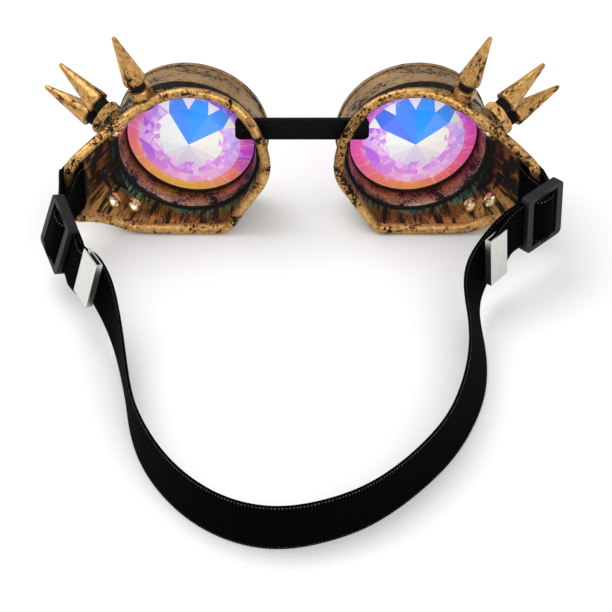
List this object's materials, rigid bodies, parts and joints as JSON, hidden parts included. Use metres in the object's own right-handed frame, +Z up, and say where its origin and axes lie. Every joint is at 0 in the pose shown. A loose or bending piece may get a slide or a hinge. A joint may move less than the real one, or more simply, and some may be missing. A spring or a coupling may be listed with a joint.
{
  "type": "steampunk goggles",
  "caption": "Spiked goggles with brass-finish eyecups, faceted kaleidoscope lenses in screwed rings, a nose strip and a webbing head strap with sliding adjusters.",
  "frame": {"origin": "bottom centre of the bounding box, on the table the goggles stand on", "axes": "+X to the wearer's right, +Y forward through the lenses, +Z up"},
  "size_m": [0.1868, 0.202, 0.0791],
  "materials": {
    "brass_finish_plastic": "hand-rubbed antique brass paint",
    "lens_glass": "faceted, dichroic colour",
    "gasket_rubber": "matt",
    "spike_brass": "worn antique",
    "screw_brass": "bright",
    "strip_vinyl": "smooth, soft",
    "strap_webbing": "ribbed elastic webbing",
    "buckle_plastic": "moulded, fine grain",
    "clip_nickel": "nickel plated, satin"
  },
  "bodies": {
    "bridge": {"nose_bridge": "strip_vinyl", "strap_band": "strap_webbing"},
    "left_cup": {"left_eyecup": "brass_finish_plastic", "left_spike_upper": "spike_brass", "left_spike_middle": "spike_brass", "left_spike_lower": "spike_brass", "left_spike_seats": "spike_brass", "left_spike_screws": "screw_brass", "left_wing_rivets": "screw_brass", "left_strap_end": "strap_webbing", "left_end_clip": "clip_nickel"},
    "left_lens_carrier": {"left_lens": "lens_glass", "left_lens_gasket": "gasket_rubber"},
    "left_ring": {"left_lens_ring": "brass_finish_plastic"},
    "left_buckle_body": {"left_buckle": "buckle_plastic"},
    "right_cup": {"right_eyecup": "brass_finish_plastic", "right_spike_upper": "spike_brass", "right_spike_middle": "spike_brass", "right_spike_lower": "spike_brass", "right_spike_seats": "spike_brass", "right_spike_screws": "screw_brass", "right_wing_rivets": "screw_brass", "right_strap_end": "strap_webbing", "right_end_clip": "clip_nickel"},
    "right_lens_carrier": {"right_lens": "lens_glass", "right_lens_gasket": "gasket_rubber"},
    "right_ring": {"right_lens_ring": "brass_finish_plastic"},
    "right_buckle_body": {"right_buckle": "buckle_plastic"}
  },
  "joints": [
    {"name": "left_cup_swivel", "type": "hinge", "parent": "bridge", "child": "left_cup", "pos_m": [-0.01598, 0.07827, 0.04048], "axis": [0, 0, 1], "range_deg": [-6, 7], "deforming": ["strap_band"]},
    {"name": "left_lens_slide", "type": "slide", "parent": "left_cup", "child": "left_lens_carrier", "axis": [0.1392, 0.9903, 0], "range_m": [0, 0.003]},
    {"name": "left_ring_turn", "type": "hinge", "parent": "left_lens_carrier", "child": "left_ring", "pos_m": [-0.0404, 0.09068, 0.02828], "axis": [0.1392, 0.9903, 0], "range_deg": [0, 720]},
    {"name": "left_buckle_slide", "type": "slide", "parent": "left_cup", "child": "left_buckle_body", "axis": [0.3357, -0.9224, -0.1908], "range_m": [-0.002, 0.006], "deforming": ["left_strap_end"]},
    {"name": "right_cup_swivel", "type": "hinge", "parent": "bridge", "child": "right_cup", "pos_m": [0.01598, 0.07827, 0.04048], "axis": [0, 0, -1], "range_deg": [-6, 7], "deforming": ["strap_band"]},
    {"name": "right_lens_slide", "type": "slide", "parent": "right_cup", "child": "right_lens_carrier", "axis": [-0.1392, 0.9903, 0], "range_m": [0, 0.003]},
    {"name": "right_ring_turn", "type": "hinge", "parent": "right_lens_carrier", "child": "right_ring", "pos_m": [0.0404, 0.09068, 0.02828], "axis": [-0.1392, 0.9903, 0], "range_deg": [0, 720]},
    {"name": "right_buckle_slide", "type": "slide", "parent": "right_cup", "child": "right_buckle_body", "axis": [-0.682, -0.7314, 0], "range_m": [-0.002, 0.006], "deforming": ["right_strap_end"]}
  ],
  "couplings": [
    {"joint": "left_ring_turn", "follows": "left_lens_slide", "rad_per_m": 4188.8},
    {"joint": "right_ring_turn", "follows": "right_lens_slide", "rad_per_m": 4188.8}
  ]
}
